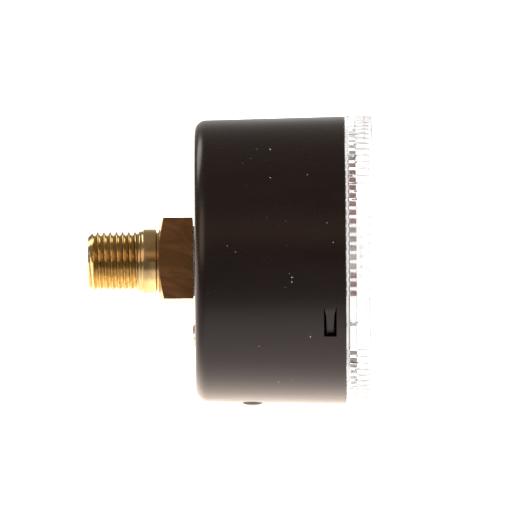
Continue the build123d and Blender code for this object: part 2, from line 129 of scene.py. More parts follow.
def loft(rings, closed_profile=True):
    """Faces between equal rings of points; a closed profile joins the last to the first."""
    verts = [p for ring in rings for p in ring]
    n = len(rings[0])
    faces = []
    spans = len(rings) if closed_profile else len(rings) - 1
    for i in range(spans):
        a, b = i * n, ((i + 1) % len(rings)) * n
        for j in range(n):
            k = (j + 1) % n
            faces.append((a + j, a + k, b + k, b + j))
    if not closed_profile:
        faces.append(tuple(range(n)))
        faces.append(tuple(range((len(rings) - 1) * n, len(rings) * n)))
    return verts, faces


def lathe(name, profile, segments=256, closed=True, sharp=32.0, centre=(0.0, 0.0)):
    """Turns a profile of (x, radius) about the axis; an open one is capped at its ends."""
    rings = []
    for x, r in profile:
        ring = [around(x, r, 360 * j / segments) for j in range(segments)]
        rings.append([(p[0], p[1] + centre[0], p[2] + centre[1]) for p in ring])
    verts, faces = loft(rings, closed)
    return mesh_object(name, verts, faces, sharp)


def arc(cx, cr, radius, start, end, steps):
    """Profile points of an arc: x = cx + radius cos, r = cr + radius sin."""
    points = []
    for i in range(steps + 1):
        a = radians(start + (end - start) * i / steps)
        points.append((cx + radius * cos(a), cr + radius * sin(a)))
    return points


def cutter_box(name, centre, size, turn=0.0):
    """Box used as a cutting tool, turned about the gauge's axis."""
    bm = bmesh.new()
    bmesh.ops.create_cube(bm, size=1.0)
    bmesh.ops.scale(bm, vec=Vector(size) * MM, verts=bm.verts)
    bmesh.ops.translate(bm, vec=Vector(centre) * MM, verts=bm.verts)
    bmesh.ops.rotate(bm, matrix=Matrix.Rotation(radians(turn), 3, "X"), verts=bm.verts)
    return tool_object(name, bm)


def cutter_rod(name, centre, radius, length, axis):
    bm = bmesh.new()
    bmesh.ops.create_cone(
        bm,
        cap_ends=True,
        segments=48,
        radius1=radius * MM,
        radius2=radius * MM,
        depth=length * MM,
    )
    if axis == "X":
        bmesh.ops.rotate(bm, matrix=Matrix.Rotation(pi / 2, 3, "Y"), verts=bm.verts)
    bmesh.ops.translate(bm, vec=Vector(centre) * MM, verts=bm.verts)
    return tool_object(name, bm)


def tool_object(name, bm):
    mesh = bpy.data.meshes.new(name)
    bm.to_mesh(mesh)
    bm.free()
    obj = bpy.data.objects.new(name, mesh)
    bpy.context.scene.collection.objects.link(obj)
    return obj


def freeze(obj):
    """Applies the object's modifiers to its mesh."""
    bpy.context.view_layer.update()
    done = obj.evaluated_get(bpy.context.evaluated_depsgraph_get())
    mesh = bpy.data.meshes.new_from_object(done)
    obj.modifiers.clear()
    obj.data = mesh


def cut(obj, tools, sharp=32.0):
    """Takes the tools' volume out of the object, then removes the tools."""
    for tool in tools:
        m = obj.modifiers.new("cut", "BOOLEAN")
        m.operation = "DIFFERENCE"
        m.solver = "EXACT"
        m.object = tool
    freeze(obj)
    for tool in tools:
        bpy.data.objects.remove(tool)
    shade(obj, sharp)


def soften(obj, width, segments=2, angle=40.0):
    """Rounds the edges that turn more than an angle, as a real edge is."""
    m = obj.modifiers.new("edge", "BEVEL")
    m.width = width * MM
    m.segments = segments
    m.limit_method = "ANGLE"
    m.angle_limit = radians(angle)
    m.harden_normals = True
    freeze(obj)


def join(name, parts):
    """One object from several."""
    bm = bmesh.new()
    for part in parts:
        bm.from_mesh(part.data)
    obj = parts[0]
    bm.to_mesh(obj.data)
    bm.free()
    for part in parts[1:]:
        bpy.data.objects.remove(part)
    obj.name = name
    return obj


# ---------------------------------------------------------------- materials
class Nodes:
    """Short calls for building a node material."""

    def __init__(self, name):
        self.material = bpy.data.materials.new(name)
        self.material.use_nodes = True
        self.tree = self.material.node_tree
        self.tree.nodes.clear()
        self.out = self.add("ShaderNodeOutputMaterial")
        self.bsdf = self.add("ShaderNodeBsdfPrincipled")
        self.link(self.bsdf.outputs[0], self.out.inputs["Surface"])
        self.place = self.add("ShaderNodeTexCoord").outputs["Object"]

    def add(self, kind, **values):
        node = self.tree.nodes.new(kind)
        for key, value in values.items():
            setattr(node, key, value)
        return node

    def link(self, a, b):
        self.tree.links.new(a, b)

    def set(self, **values):
        for key, value in values.items():
            self.bsdf.inputs[key.replace("_", " ")].default_value = value

    def mapped(self, scale, turn=(0, 0, 0)):
        """Texture place, turned and then stretched."""
        rotation = self.add("ShaderNodeMapping")
        rotation.inputs["Rotation"].default_value = turn
        self.link(self.place, rotation.inputs["Vector"])
        node = self.add("ShaderNodeMapping")
        node.inputs["Scale"].default_value = scale
        self.link(rotation.outputs[0], node.inputs["Vector"])
        return node.outputs[0]

    def noise(self, scale, detail=4.0, rough=0.55, vector=None, distortion=0.0):
        node = self.add("ShaderNodeTexNoise")
        node.inputs["Scale"].default_value = scale
        node.inputs["Detail"].default_value = detail
        node.inputs["Roughness"].default_value = rough
        node.inputs["Distortion"].default_value = distortion
        self.link(vector or self.place, node.inputs["Vector"])
        return node.outputs["Fac"]

    def ramp(self, value, stops):
        node = self.add("ShaderNodeValToRGB")
        ramp = node.color_ramp
        while len(ramp.elements) < len(stops):
            ramp.elements.new(0.5)
        for element, (place, colour) in zip(ramp.elements, stops):
            element.position = place
            element.color = (*colour, 1.0)
        self.link(value, node.inputs[0])
        return node.outputs[0]

    def span(self, value, low, high, to_low=0.0, to_high=1.0):
        node = self.add("ShaderNodeMapRange")
        for key, number in (
            ("From Min", low),
            ("From Max", high),
            ("To Min", to_low),
            ("To Max", to_high),
        ):
            node.inputs[key].default_value = number
        self.link(value, node.inputs["Value"])
        return node.outputs[0]

    def math(self, operation, a, b=None):
        node = self.add("ShaderNodeMath", operation=operation)
        for socket, value in zip(node.inputs, (a, b)):
            if value is None:
                continue
            if isinstance(value, (int, float)):
                socket.default_value = value
            else:
                self.link(value, socket)
        return node.outputs[0]

    def mix(self, factor, a, b):
        node = self.add("ShaderNodeMix", data_type="RGBA")
        if isinstance(factor, (int, float)):
            node.inputs[0].default_value = factor
        else:
            self.link(factor, node.inputs[0])
        for socket, value in ((node.inputs[6], a), (node.inputs[7], b)):
            if isinstance(value, tuple):
                socket.default_value = (*value, 1.0)
            else:
                self.link(value, socket)
        return node.outputs[2]

    def bump(self, height, strength, distance, normal=None):
        node = self.add("ShaderNodeBump")
        node.inputs["Strength"].default_value = strength
        node.inputs["Distance"].default_value = distance
        self.link(height, node.inputs["Height"])
        if normal:
            self.link(normal, node.inputs["Normal"])
        return node.outputs[0]


def paint_material():
    m = Nodes("black_enamel")
    large = m.noise(45, 3)
    tone = m.mix(m.span(large, 0.35, 0.7), (0.0054, 0.0022, 0.0012), (0.0074, 0.0032, 0.0020))
    specks = m.noise(900, 1, 0.4)
    dust = m.span(specks, 0.765, 0.79)
    sparse = m.span(m.noise(70, 2), 0.50, 0.62)
    dust = m.math("MULTIPLY", dust, sparse)
    m.link(m.mix(dust, tone, (0.30, 0.27, 0.24)), m.bsdf.inputs["Base Color"])
    smear = m.noise(1.0, 3, 0.6, m.mapped((60, 240, 240)))
    rough = m.span(smear, 0.3, 0.75, 0.23, 0.30)
    m.link(rough, m.bsdf.inputs["Roughness"])
    peel = m.noise(520, 2, 0.5)
    grain = m.noise(2600, 2, 0.5)
    normal = m.bump(peel, 0.05, 0.00010)
    normal = m.bump(grain, 0.05, 0.00002, normal)
    m.link(normal, m.bsdf.inputs["Normal"])
    m.set(IOR=1.5)
    return m.material


def brass_material(name, light, dark, rough, lathe_turned):
    """Brass: turned on a lathe it has fine rings, drawn it has a dull streaked skin."""
    m = Nodes(name)
    blot = m.noise(230, 5, 0.62, distortion=0.6)
    fine = m.noise(1400, 3, 0.6)
    tone = m.mix(m.span(blot, 0.32, 0.68), dark, light)
    spots = m.span(fine, 0.60, 0.74)
    tone = m.mix(m.math("MULTIPLY", spots, 0.35), tone, tuple(c * 0.45 for c in dark))
    m.set(Metallic=1.0)
    if lathe_turned:
        rings = m.noise(1.0, 3, 0.7, m.mapped((5200, 60, 60)))
        m.link(m.span(blot, 0.3, 0.7, rough * 0.8, rough * 1.35), m.bsdf.inputs["Roughness"])
        normal = m.bump(rings, 0.10, 0.00003)
    else:
        # painted reflection: slanting smears, darker in tone, stand in for smeared reflections; they
        # lie over the lengthwise drawing marks
        slant = m.mapped((75, 300, 260), turn=(0.0, radians(-17), 0.0))
        smear = m.noise(1.0, 4, 0.6, slant, 0.8)
        # painted reflection: darker tone in the slanting smears
        tone = m.mix(m.span(smear, 0.42, 0.62), tone, tuple(c * 0.72 for c in dark))
        drawn = m.noise(1.0, 3, 0.7, m.mapped((90, 1500, 1500)))
        m.link(m.span(smear, 0.35, 0.7, rough * 0.8, rough * 1.3), m.bsdf.inputs["Roughness"])
        normal = m.bump(drawn, 0.12, 0.00004)
        normal = m.bump(smear, 0.20, 0.00010, normal)
    m.link(tone, m.bsdf.inputs["Base Color"])
    m.link(normal, m.bsdf.inputs["Normal"])
    return m.material


def clear_material(name, tint, transmission):
    """Clear plastic; less than full transmission gives it a milky haze."""
    m = Nodes(name)
    haze = m.noise(160, 3)
    scuffs = m.noise(1.0, 2, 0.5, m.mapped((900, 2500, 300)))
    rough = m.math("ADD", m.span(haze, 0.4, 0.7, 0.0, 0.02), m.span(scuffs, 0.62, 0.75, 0.0, 0.08))
    m.link(rough, m.bsdf.inputs["Roughness"])
    m.set(Base_Color=(*tint, 1.0), Transmission_Weight=transmission, IOR=INDEX)
    normal = m.bump(m.noise(90, 2), 0.05, 0.0002)
    m.link(normal, m.bsdf.inputs["Normal"])
    return m.material


def print_white_material():
    """White enamel, with a painted highlight: brightest on the dial's turned-back edge, standing in
    for light the clear rim brings onto it.
    """
    m = Nodes("dial_white")
    fine = m.noise(2600, 2)
    tone = m.mix(m.span(m.noise(60, 2), 0.3, 0.7), (0.74, 0.74, 0.72), (0.78, 0.78, 0.76))
    at = m.add("ShaderNodeSeparateXYZ")
    m.link(m.place, at.inputs[0])
    # painted highlight: the turned-back edge is made whiter than the face
    edge = m.span(at.outputs["X"], (DIAL_FRONT - 0.1) * MM, (DIAL_FRONT - 0.4) * MM)
    tone = m.mix(edge, tone, (0.95, 0.94, 0.92))
    m.link(tone, m.bsdf.inputs["Base Color"])
    m.link(m.span(fine, 0.3, 0.7, 0.34, 0.46), m.bsdf.inputs["Roughness"])
    m.link(m.bump(fine, 0.08, 0.00002), m.bsdf.inputs["Normal"])
    return m.material


def ink_material(name, colour):
    m = Nodes(name)
    fine = m.noise(3200, 2)
    tone = m.mix(m.span(fine, 0.35, 0.7), colour, tuple(min(1, c * 1.35 + 0.004) for c in colour))
    m.link(tone, m.bsdf.inputs["Base Color"])
    m.link(m.span(fine, 0.3, 0.7, 0.40, 0.55), m.bsdf.inputs["Roughness"])
    m.link(m.bump(fine, 0.10, 0.00002), m.bsdf.inputs["Normal"])
    return m.material


def steel_material(name, colour, rough):
    m = Nodes(name)
    blot = m.noise(700, 4)
    tone = m.mix(m.span(blot, 0.3, 0.7), tuple(c * 0.82 for c in colour), colour)
    m.link(tone, m.bsdf.inputs["Base Color"])
    m.link(m.span(blot, 0.3, 0.7, rough * 0.75, rough * 1.4), m.bsdf.inputs["Roughness"])
    m.set(Metallic=1.0)
    m.link(m.bump(m.noise(3000, 3), 0.12, 0.00003), m.bsdf.inputs["Normal"])
    return m.material


def soft_material(name, colour, rough):
    """Rubber or nylon: dull, with a fine moulded grain."""
    m = Nodes(name)
    grain = m.noise(2200, 3)
    tone = m.mix(m.span(m.noise(300, 3), 0.3, 0.7), tuple(c * 0.8 for c in colour), colour)
    m.link(tone, m.bsdf.inputs["Base Color"])
    m.link(m.span(grain, 0.3, 0.7, rough * 0.85, min(1.0, rough * 1.15)), m.bsdf.inputs["Roughness"])
    m.link(m.bump(grain, 0.25, 0.00004), m.bsdf.inputs["Normal"])
    return m.material


FADED = (0.68, 0.65, 0.63)
PALE_GREY = (0.42, 0.38, 0.37)
MAUVE = (0.28, 0.23, 0.23)
DARK_GREY = (0.15, 0.13, 0.12)
ROSE = (0.24, 0.10, 0.105)
RED = (0.19, 0.04, 0.035)
# Painted light and shade on the dial's edge, by its height angle in degrees, level with the axis at
# 0: tints that stand in for what shows through the ribs
PAINTED_EDGE_BANDS = (
    (-66, FADED),
    (-54, PALE_GREY),
    (-48, DARK_GREY),
    (-38, DARK_GREY),
    (-14, ROSE),
    (-7, ROSE),
    (-2, PALE_GREY),
    (2, PALE_GREY),
    (6, MAUVE),
    (12, MAUVE),
    (17, ROSE),
    (24, ROSE),
    (30, RED),
    (40, RED),
    (49, DARK_GREY),
    (54, PALE_GREY),
    (66, FADED),
)


def painted_edge_view_material():
    """Red and grey tints in bands of height, painted light and shade with a painted shadow line by
    the lip: a stand-in, right only from the gauge's side.
    """
    m = Nodes("dial_edge_painted_view")
    at = m.add("ShaderNodeSeparateXYZ")
    m.link(m.place, at.inputs[0])
    slope = m.math("DIVIDE", at.outputs["Z"], m.math("MULTIPLY", at.outputs["Y"], -1.0))
    height = m.math("ARCTANGENT", slope)
    # the bands of painted light and shade, by height
    stops = [((angle + 90) / 180, colour) for angle, colour in PAINTED_EDGE_BANDS]
    tone = m.ramp(m.span(height, -pi / 2, pi / 2), stops)
    # painted shadow: the edge goes dark towards its back, beside the lip
    lip = m.span(at.outputs["X"], (DIAL_FRONT - 1.70) * MM, (DIAL_FRONT - 1.62) * MM, 0.75, 0.0)
    tone = m.mix(lip, tone, (0.19, 0.15, 0.145))
    speck = m.span(m.noise(2400, 3), 0.35, 0.7, 0.0, 0.22)
    m.link(m.mix(speck, tone, (0.12, 0.09, 0.09)), m.bsdf.inputs["Base Color"])
    m.link(m.span(m.noise(1800, 2), 0.3, 0.7, 0.40, 0.55), m.bsdf.inputs["Roughness"])
    m.link(m.bump(m.noise(2400, 2), 0.08, 0.00002), m.bsdf.inputs["Normal"])
    return m.material


paint = paint_material()
brass_turned = brass_material("brass_turned", (0.74, 0.60, 0.30), (0.62, 0.46, 0.20), 0.14, True)
brass_drawn = brass_material("brass_drawn", (0.54, 0.355, 0.185), (0.42, 0.265, 0.125), 0.26, False)
brass_plate = brass_material("brass_plate", (0.80, 0.60, 0.28), (0.72, 0.50, 0.20), 0.26, False)
bronze = brass_material("spring_bronze", (0.74, 0.42, 0.22), (0.60, 0.32, 0.15), 0.24, False)
clear = clear_material("clear_polycarbonate", (0.985, 0.99, 0.985), 1.0)
clear_hazy = clear_material("clear_polycarbonate_rim", (0.88, 0.85, 0.845), 0.68)
dial_white = print_white_material()
painted_edge_view = painted_edge_view_material()
ink_black = ink_material("ink_black", (0.010, 0.010, 0.011))
ink_red = ink_material("ink_red", (0.42, 0.010, 0.012))
pointer_paint = ink_material("pointer_black", (0.012, 0.012, 0.013))
zinc = steel_material("zinc_steel", (0.62, 0.63, 0.62), 0.28)
arbor_steel = steel_material("arbor_steel", (0.60, 0.60, 0.62), 0.18)
rubber = soft_material("plug_rubber", (0.028, 0.025, 0.024), 0.62)
seal_rubber = soft_material("seal_rubber", (0.030, 0.028, 0.027), 0.5)
nylon = soft_material("nylon", (0.82, 0.80, 0.74), 0.42)


def paint_node(name, material):
    obj = nodes[name]
    obj.data.materials.clear()
    obj.data.materials.append(material)


def finish_piece(obj, material, body, slot_name, *replaced):
    """Gives a piece its material and its body, and hides the nodes it stands for; the slot name is
    not used.
    """
    obj.data.materials.clear()
    obj.data.materials.append(material)
    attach(obj, body)
    if replaced:
        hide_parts(*replaced)
    return obj


# ---------------------------------------------------------------- case
def case_radius(x):
    return CASE_R_BACK + (CASE_R_FRONT - CASE_R_BACK) * (x - CASE_BACK) / (CASE_FRONT - CASE_BACK)


def make_case():
    corner = CASE_CORNER
    inner_corner = corner - SHEET
    back_in = CASE_BACK + SHEET
    outer = [(CASE_BACK, 6.1), (CASE_BACK, 12.0), (CASE_BACK, 20.0)]
    outer += arc(CASE_BACK + corner, case_radius(CASE_BACK + corner) - corner, corner, 180, 90, 14)
    for x in (18, 23, 28, 33, 37, 38.6, 40.3, 42, 43):
        outer.append((x, case_radius(x)))
    rim = case_radius(CASE_FRONT)
    outer += [(43.38, rim - 0.01), (43.47, rim - 0.06), (CASE_FRONT, rim - 0.16)]
    inner = [(CASE_FRONT, rim - SHEET + 0.1), (43.42, rim - SHEET)]
    for x in (42, 38, 33, 28, 23, 18):
        inner.append((x, case_radius(x) - SHEET))
    centre_r = case_radius(back_in + inner_corner) - SHEET - inner_corner
    inner += arc(back_in + inner_corner, centre_r, inner_corner, 90, 180, 10)
    inner += [(back_in, 20.0), (back_in, 12.0), (back_in, 6.1)]
    case = lathe("case_shell", outer + inner, 384)
    tools = []
    for turn in (LAND_ANGLE, LAND_ANGLE + 180):
        slot_turn = turn - TONGUE_LEAD
        tools.append(cutter_box("slot", (TONGUE_X, 30.5, 0), (2.7, 4.0, 6.9), slot_turn))
        dent_x = CASE_FRONT + DENT_R - DENT_DEPTH
        dent = cutter_rod("dent", (dent_x, 0, CASE_R_FRONT - DENT_DEPTH + 2), DENT_R, 4.0, "Z")
        dent.data.transform(Matrix.Rotation(radians(turn - 90), 4, "X"))
        tools.append(dent)
    tools.append(cutter_rod("screw_hole", (CASE_BACK, 0, SCREW_Z), 1.6, 4.0, "X"))
    tools.append(cutter_rod("plug_hole", (PLUG_X, 0, -30.2), 1.75, 4.0, "Z"))
    cut(case, tools)
    tongues = []
    for turn in (LAND_ANGLE, LAND_ANGLE + 180):
        tongues.append(make_tongue(turn - TONGUE_LEAD))
    return join("case_shell", [case] + tongues)


def make_tongue(turn):
    """Bent tongue: level with the case at its upper end, sunk at its lower end."""
    steps = 18
    rings = []
    for i in range(steps + 1):
        t = i / steps
        angle = turn - 6.5 + 12.4 * t
        sink = 0.95 * (t * t * (3 - 2 * t)) - 0.07 * exp(-((t / 0.09 - 1) ** 2))
        width = 1.26 - 0.36 * min(1.0, t / 0.30)
        ring = []
        for side_x, depth in (
            (-width, 0.08),
            (-width + 0.10, 0.0),
            (width - 0.10, 0.0),
            (width, 0.08),
            (width, SHEET),
            (-width, SHEET),
        ):
            r = case_radius(TONGUE_X) - sink - depth
            ring.append(around(TONGUE_X + side_x, r, angle))
        rings.append(ring)
    verts, faces = loft(rings, False)
    return mesh_object("tongue", verts, faces, 50)


finish_piece(make_case(), paint, "case", "case_paint", "case")


# ---------------------------------------------------------------- window
def window_columns():
    """Angles round the rim, each with its place on a rib: 0 between ribs, 1 on a crest."""
    half = degrees(RIB_WIDTH / 2 / WINDOW_R)
    slope = 0.22
    marks = []
    step = (180 - 2 * LAND_HALF) / (RIBS_PER_SIDE - 1)
    for side in (0.0, 180.0):
        ribs = [(LAND_ANGLE + side, 0.42)]
        for i in range(RIBS_PER_SIDE):
            ribs.append((LAND_ANGLE + side + LAND_HALF + i * step, half))
        for angle, h in ribs:
            marks += [
                (angle - h - slope, 0.0),
                (angle - h, 0.82),
                (angle - h + 0.14, 1.0),
                (angle, 1.0),
                (angle + h - 0.14, 1.0),
                (angle + h, 0.82),
                (angle + h + slope, 0.0),
            ]
        for k in range(1, 12):
            marks.append((LAND_ANGLE + side + k, 0.0))
            marks.append((LAND_ANGLE + side - k, 0.0))
    return sorted((a % 360, up) for a, up in marks)


def make_window():
    flange = CASE_FRONT + FLANGE
    front = WINDOW_FRONT
    inside = front - WINDOW_SHEET
    groove_back, groove_front = SEAL_GROOVE
    # (x, radius between ribs, radius on a rib)
    outer = [
        (SPIGOT_START, 29.4, 29.4),
        (38.1, SPIGOT_R, SPIGOT_R),
        (groove_back, SPIGOT_R, SPIGOT_R),
        (groove_back, SEAL_GROOVE_R, SEAL_GROOVE_R),
        (groove_front, SEAL_GROOVE_R, SEAL_GROOVE_R),
        (groove_front, SPIGOT_R, SPIGOT_R),
        (CASE_FRONT, SPIGOT_R, SPIGOT_R),
        (CASE_FRONT + 0.02, WINDOW_R - 0.12, WINDOW_R - 0.12),
        (CASE_FRONT + 0.14, WINDOW_R, WINDOW_R),
        (flange, WINDOW_R, WINDOW_R),
        (flange + 0.06, RIB_ROOT_R, WINDOW_R - 0.02),
        (flange + 0.80, RIB_ROOT_R, WINDOW_R - 0.02),
        (RIB_STEP - 0.10, RIB_ROOT_R + 0.04, WINDOW_R - 0.03),
        (RIB_STEP + 0.30, RIB_ROOT_R + 0.34, WINDOW_R - 0.06),
        (front - 1.1, RIB_ROOT_R + 0.38, WINDOW_R - 0.05),
        (front - 0.9, WINDOW_R - 0.05, WINDOW_R - 0.05),
        (front - 0.35, WINDOW_R - 0.05, WINDOW_R - 0.05),
        (front - 0.12, WINDOW_R - 0.17, WINDOW_R - 0.17),
        (front, WINDOW_R - 0.50, WINDOW_R - 0.50),
        (front, 26.0, 26.0),
        (front, 14.0, 14.0),
        (front, 0.02, 0.02),
    ]
    inner = [
        (inside, 0.02, 0.02),
        (inside, 14.0, 14.0),
        (inside, 26.0, 26.0),
        (inside, WINDOW_BORE_R - 0.5, WINDOW_BORE_R - 0.5),
        (front - 1.75, WINDOW_BORE_R - 0.15, WINDOW_BORE_R - 0.15),
        (front - 2.1, WINDOW_BORE_R, WINDOW_BORE_R),
        (CASE_FRONT, WINDOW_BORE_R, WINDOW_BORE_R),
        (SPIGOT_START, WINDOW_BORE_R, WINDOW_BORE_R),
    ]
    columns = window_columns()
    rings = []
    for x, low, high in outer + inner:
        rings.append([around(x, low + (high - low) * up, a) for a, up in columns])
    verts, faces = loft(rings)
    window = mesh_object("window_cap", verts, faces, 30)
    tools = []
    for turn in (LAND_ANGLE, LAND_ANGLE + 180):
        slot_turn = turn - TONGUE_LEAD
        tools.append(cutter_box("slot", (TONGUE_X - 0.1, 29.5, 0), (3.2, 4.0, 7.8), slot_turn))
    cut(window, tools, 30)
    return window


window = finish_piece(make_window(), clear, "case", "clear_plastic", "window")
# a faint haze on the outside of the rim softens what shows through it; a look chosen
window.data.materials.append(clear_hazy)
for face in window.data.polygons:
    middle = face.center / MM
    if sqrt(middle.y**2 + middle.z**2) > RIB_ROOT_R and middle.x > RIB_STEP - 0.2:
        face.material_index = 1


# ---------------------------------------------------------------- dial and its print
def clock_point(radius, clock_angle):
    """Y and Z of a point on the dial at a clock angle."""
    a = radians(clock_angle)
    return (radius * sin(a), radius * cos(a))


def make_dial():
    skirt = DIAL_FRONT - DIAL_SKIRT
    profile = [
        (DIAL_FRONT, 1.4),
        (DIAL_FRONT, 8.0),
        (DIAL_FRONT, 16.0),
        (DIAL_FRONT, 24.0),
    ]
    profile += arc(DIAL_FRONT - 0.4, DIAL_R - 0.4, 0.4, 0, 90, 6)
    behind = DIAL_FRONT - DIAL_SHEET
    profile += [(skirt, DIAL_R), (skirt, DIAL_R - DIAL_SHEET), (behind, DIAL_R - DIAL_SHEET)]
    profile += [(behind, 20.0), (behind, 10.0), (behind, 1.4)]
    return lathe("dial_disc", profile, 256)


def seen_at(rim_angle):
    """Height angle on the dial's edge that is seen through the clear rim at an angle."""
    height = WINDOW_R * sin(radians(rim_angle))
    if abs(height) > 0.985 * DIAL_R:
        return None
    bend = asin(height / (INDEX * WINDOW_BORE_R)) - asin(height / (INDEX * WINDOW_R))
    gap = asin(height / DIAL_R) - asin(height / WINDOW_BORE_R)
    return rim_angle + degrees(bend + gap)


def edge_patch(angles_back, angles_front, x_back, x_front):
    """Film on the dial's edge between two heights; the angles are seen from the side."""
    verts, faces = [], []
    steps = 4
    for x, (low, high) in ((x_back, angles_back), (x_front, angles_front)):
        for i in range(steps + 1):
            verts.append(around(x, DIAL_R + 0.02, 180 - (low + (high - low) * i / steps)))
    for i in range(steps):
        faces.append((i, i + 1, steps + 2 + i, steps + 1 + i))
    return verts, faces


def make_edge_blocks():
    """Blocks of painted light and shade on the dial's edge, one behind each rib, and the painted
    shadow line of its lip.
    """
    back, front = DIAL_FRONT - 1.66, DIAL_FRONT - 0.25
    step = (180 - 2 * LAND_HALF) / (RIBS_PER_SIDE - 1)
    ribs = [(180 - LAND_ANGLE, 0.56)]
    for i in range(RIBS_PER_SIDE):
        ribs.append((180 - LAND_ANGLE + LAND_HALF + i * step, 1.2))
        ribs.append((180 - LAND_ANGLE - LAND_HALF - i * step, 1.2))
    verts, faces = [], []

    def add(patch):
        start = len(verts)
        verts.extend(patch[0])
        faces.extend(tuple(start + k for k in face) for face in patch[1])

    # a block of painted light and shade behind each rib
    for centre, half in ribs:
        ends = seen_at(centre - half), seen_at(centre + half)
        if abs(centre) > 72 or None in ends:
            continue
        low, high = ends
        add(edge_patch((low - 0.12, high + 0.12), (low + 0.05, high - 0.30), back, front))
    # the painted shadow line, a strip along the back of the edge
    for i in range(-50, 50, 2):
        add(edge_patch((i, i + 2), (i, i + 2), back - 0.26, back - 0.06))
    n = len(verts)
    verts += [turned(v, 180) for v in verts]
    faces += [tuple(n + k for k in face) for face in faces]
    return mesh_object("dial_edge_blocks", verts, faces, 30)


def flat_prism(name, outline, x_low, x_high):
    """Solid between two planes across the axis, from an outline of (y, z)."""
    n = len(outline)
    verts = [(x_low, y, z) for y, z in outline] + [(x_high, y, z) for y, z in outline]
    faces = [tuple(range(n)), tuple(range(n, 2 * n))]
    for i in range(n):
        faces.append((i, (i + 1) % n, n + (i + 1) % n, n + i))
    return mesh_object(name, verts, faces, 30)


def tick(clock_angle, r0, r1, width, ink_x):
    a = radians(clock_angle)
    out, side = (sin(a), cos(a)), (cos(a), -sin(a))
    outline = []
    for r, s in ((r0, -1), (r1, -1), (r1, 1), (r0, 1)):
        outline.append(
            (out[0] * r + side[0] * s * width / 2, out[1] * r + side[1] * s * width / 2)
        )
    return flat_prism("tick", outline, ink_x, ink_x + 0.02)


def ring_arc(r0, r1, start, end, ink_x):
    """Printed band between two clock angles."""
    steps = max(2, int(abs(end - start) / 1.5))
    outline = []
    for i in range(steps + 1):
        outline.append(clock_point(r1, start + (end - start) * i / steps))
    for i in range(steps, -1, -1):
        outline.append(clock_point(r0, start + (end - start) * i / steps))
    return flat_prism("band", outline, ink_x, ink_x + 0.02)


def number(text, height, at, ink_x):
    """Printed number centred on a point of the dial, upright for the reader."""
    curve = bpy.data.curves.new("number", "FONT")
    curve.body = text
    curve.size = height * MM * 1.38
    curve.align_x = "CENTER"
    curve.align_y = "CENTER"
    curve.extrude = 0.01 * MM
    curve.resolution_u = 6
    obj = bpy.data.objects.new("number", curve)
    bpy.context.scene.collection.objects.link(obj)
    bpy.context.view_layer.update()
    mesh = bpy.data.meshes.new_from_object(obj.evaluated_get(bpy.context.evaluated_depsgraph_get()))
    bpy.data.objects.remove(obj)
    across = Matrix(((0, 0, 1, 0), (1, 0, 0, 0), (0, 1, 0, 0), (0, 0, 0, 1)))
    mesh.transform(across)
    mesh.transform(Matrix.Translation(Vector((ink_x + 0.01, at[0], at[1])) * MM))
    out = bpy.data.objects.new("number", mesh)
    bpy.context.scene.collection.objects.link(out)
    return out


ZERO = 225.0
SPAN = 270.0
BAR_TOP = 10
PSI_TOP = 145


def make_print():
    """Black and red pieces of the dial's print, in that order."""
    black = []
    red = []
    for i in range(BAR_TOP * 5 + 1):
        a = ZERO + SPAN * i / (BAR_TOP * 5)
        if i % 5 == 0:
            black.append(tick(a, 20.6, 24.6, 0.55, DIAL_FRONT))
            black.append(number(str(i // 5), 3.1, clock_point(17.6, a), DIAL_FRONT))
        else:
            black.append(tick(a, 22.4, 24.6, 0.25, DIAL_FRONT))
    black.append(ring_arc(24.5, 24.75, ZERO, ZERO + SPAN, DIAL_FRONT + 0.001))
    for i in range(PSI_TOP // 5 + 1):
        a = ZERO + SPAN * i * 5 / PSI_TOP
        long = i % 4 == 0
        red.append(tick(a, 13.2 if long else 13.8, 14.9, 0.3 if long else 0.18, DIAL_FRONT))
        if long:
            red.append(number(str(i * 5), 1.5, clock_point(11.6, a), DIAL_FRONT))
    red.append(ring_arc(14.75, 14.95, ZERO, ZERO + SPAN, DIAL_FRONT + 0.001))
    red.append(ring_arc(25.2, 27.4, ZERO + 202.5, ZERO + SPAN, DIAL_FRONT))
    red.append(number("psi", 1.5, (0.0, 6.4), DIAL_FRONT))
    black.append(number("bar", 2.6, (0.0, -13.0), DIAL_FRONT))
    return black, red


black_parts, red_parts = make_print()
finish_piece(make_dial(), dial_white, "case", "dial_white", "dial")
finish_piece(make_edge_blocks(), painted_edge_view, "case", "dial_white")
finish_piece(join("dial_print_black", black_parts), ink_black, "case", "dial_white")
finish_piece(join("dial_print_red", red_parts), ink_red, "case", "dial_white")


# ---------------------------------------------------------------- pointer
def make_pointer():
    outline = []
    turn = radians(90 - ZERO)
    for u, v in (
        (-9.0, -1.3),
        (0.0, -1.15),
        (19.0, -0.8),
        (24.0, -0.12),
        (24.0, 0.12),
        (19.0, 0.8),
        (0.0, 1.15),
        (-9.0, 1.3),
    ):
        outline.append((u * cos(turn) - v * sin(turn), u * sin(turn) + v * cos(turn)))
    blade = flat_prism("blade", outline, POINTER_X, POINTER_X + 0.4)
    soften(blade, 0.06, 2)
    disc = [(46.74, 0.62), (46.74, 2.9), (46.80, 3.0), (47.10, 3.0), (47.16, 2.9), (47.16, 0.62)]
    return join("pointer_blade", [blade, lathe("disc", disc, 64)])


finish_piece(make_pointer(), pointer_paint, "pointer", "pointer_black", "pointer")
hub_profile = [(46.2, 0.62), (46.2, 2.2), (46.28, 2.3), (46.75, 2.3), (47.17, 2.3)]
hub_profile += [(47.17, 1.3), (47.32, 1.28), (47.42, 1.15), (47.45, 0.95), (47.45, 0.62)]
finish_piece(
    lathe("pointer_boss", hub_profile, 64), pointer_paint, "pointer", "pointer_black", "pointer_hub"
)


